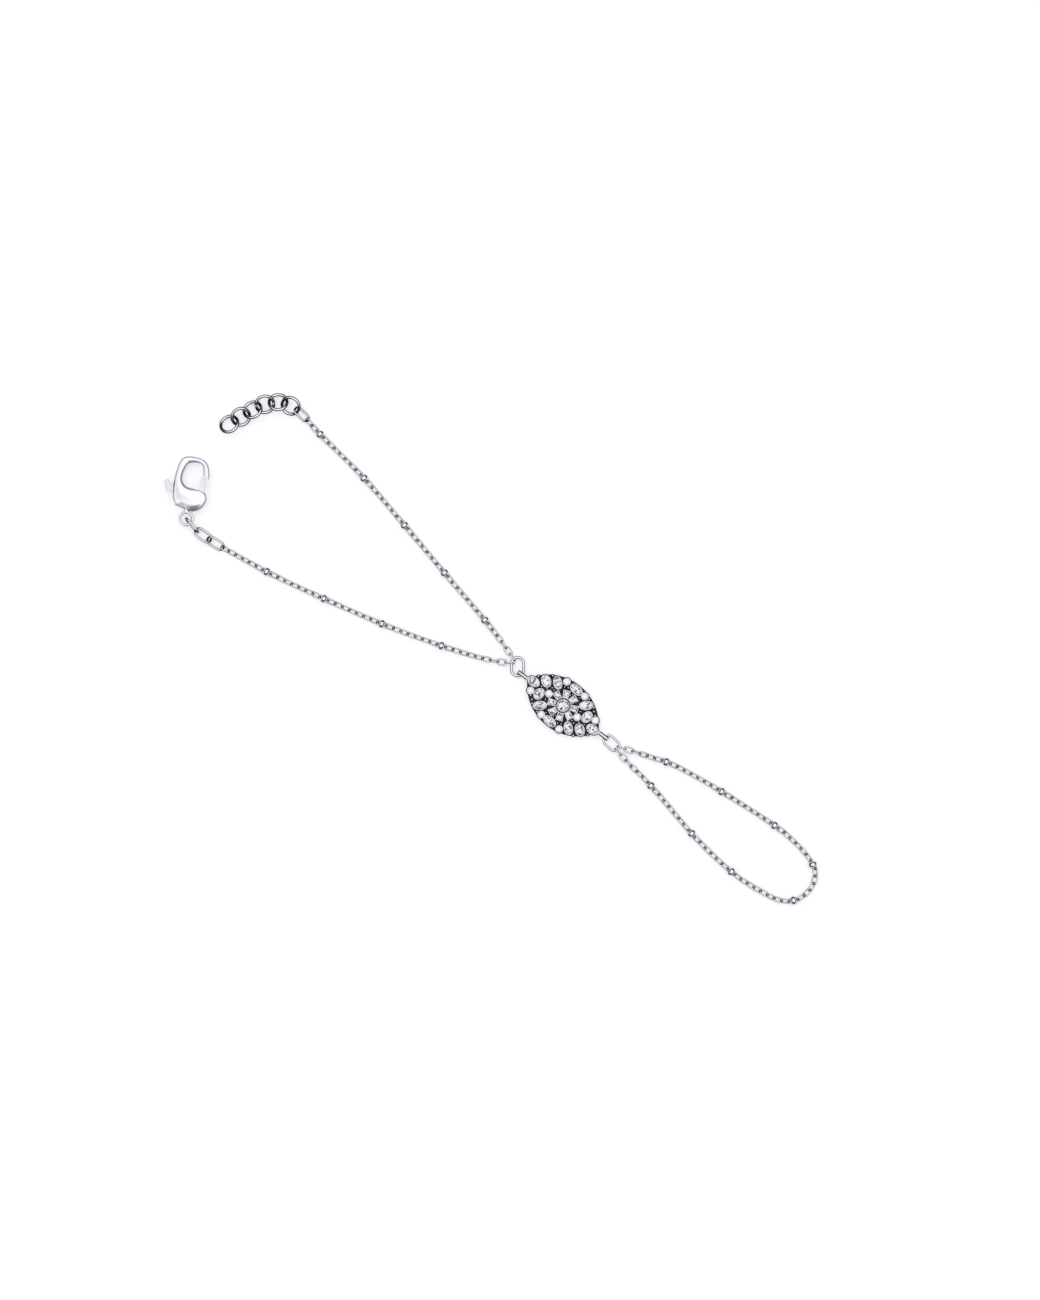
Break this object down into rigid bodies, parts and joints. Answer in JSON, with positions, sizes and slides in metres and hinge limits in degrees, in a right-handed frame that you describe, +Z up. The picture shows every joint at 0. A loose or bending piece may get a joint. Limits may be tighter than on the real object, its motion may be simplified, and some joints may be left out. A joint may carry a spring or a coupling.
{
  "type": "hand chain bracelet",
  "caption": "Hand chain bracelet laid flat: stone-set marquise pendant, bead chains round the wrist to a lobster clasp and ring extender, and a closed chain round a finger.",
  "frame": {"origin": "middle of the pendant's flat back, on the surface that the bracelet lies on", "axes": "+X along the pendant from the wrist chains towards the finger chain, +Y across the pendant towards the upper wrist chain, +Z up from the surface through the pendant's stones"},
  "size_m": [0.1908, 0.0428, 0.0033],
  "materials": {
    "bright_plate": "polished",
    "antiqued_plate": "darkened between bright edges",
    "clear_stone": "faceted"
  },
  "bodies": {
    "bracelet": {"pendant_setting": "antiqued_plate", "centre_stone": "clear_stone", "oval_stone_1": "clear_stone", "oval_stone_2": "clear_stone", "oval_stone_3": "clear_stone", "oval_stone_4": "clear_stone", "oval_stone_5": "clear_stone", "oval_stone_6": "clear_stone", "oval_stone_7": "clear_stone", "oval_stone_8": "clear_stone", "oval_stone_9": "clear_stone", "oval_stone_10": "clear_stone", "oval_stone_11": "clear_stone", "oval_stone_12": "clear_stone", "round_stone_1": "clear_stone", "round_stone_2": "clear_stone", "round_stone_3": "clear_stone", "round_stone_4": "clear_stone", "round_stone_5": "clear_stone", "round_stone_6": "clear_stone", "round_stone_7": "clear_stone", "round_stone_8": "clear_stone", "baguette_1": "clear_stone", "baguette_2": "clear_stone", "baguette_3": "clear_stone", "baguette_4": "clear_stone", "baguette_5": "clear_stone", "baguette_6": "clear_stone", "baguette_7": "clear_stone", "baguette_8": "clear_stone", "wrist_ring": "bright_plate", "finger_ring": "bright_plate", "extender_link": "bright_plate", "extender_ring_1": "bright_plate", "extender_ring_2": "bright_plate", "extender_ring_3": "bright_plate", "extender_ring_4": "bright_plate", "extender_ring_5": "bright_plate", "extender_ring_6": "bright_plate", "clasp_link_1": "bright_plate", "clasp_link_2": "bright_plate", "clasp_link_3": "bright_plate", "upper_chain": "bright_plate", "lower_chain": "bright_plate", "finger_chain": "bright_plate", "clasp_body": "bright_plate", "clasp_pin": "bright_plate"},
    "clasp_lever": {"clasp_lever": "bright_plate"}
  },
  "joints": [
    {"name": "lever_turn", "type": "hinge", "parent": "bracelet", "child": "clasp_lever", "pos_m": [-0.10309, -0.0139, 0.00165], "axis": [0, 0, 1], "range_deg": [0, 22], "stiffness_Nm_per_rad": 0.0001, "springref_deg": -11.46}
  ]
}
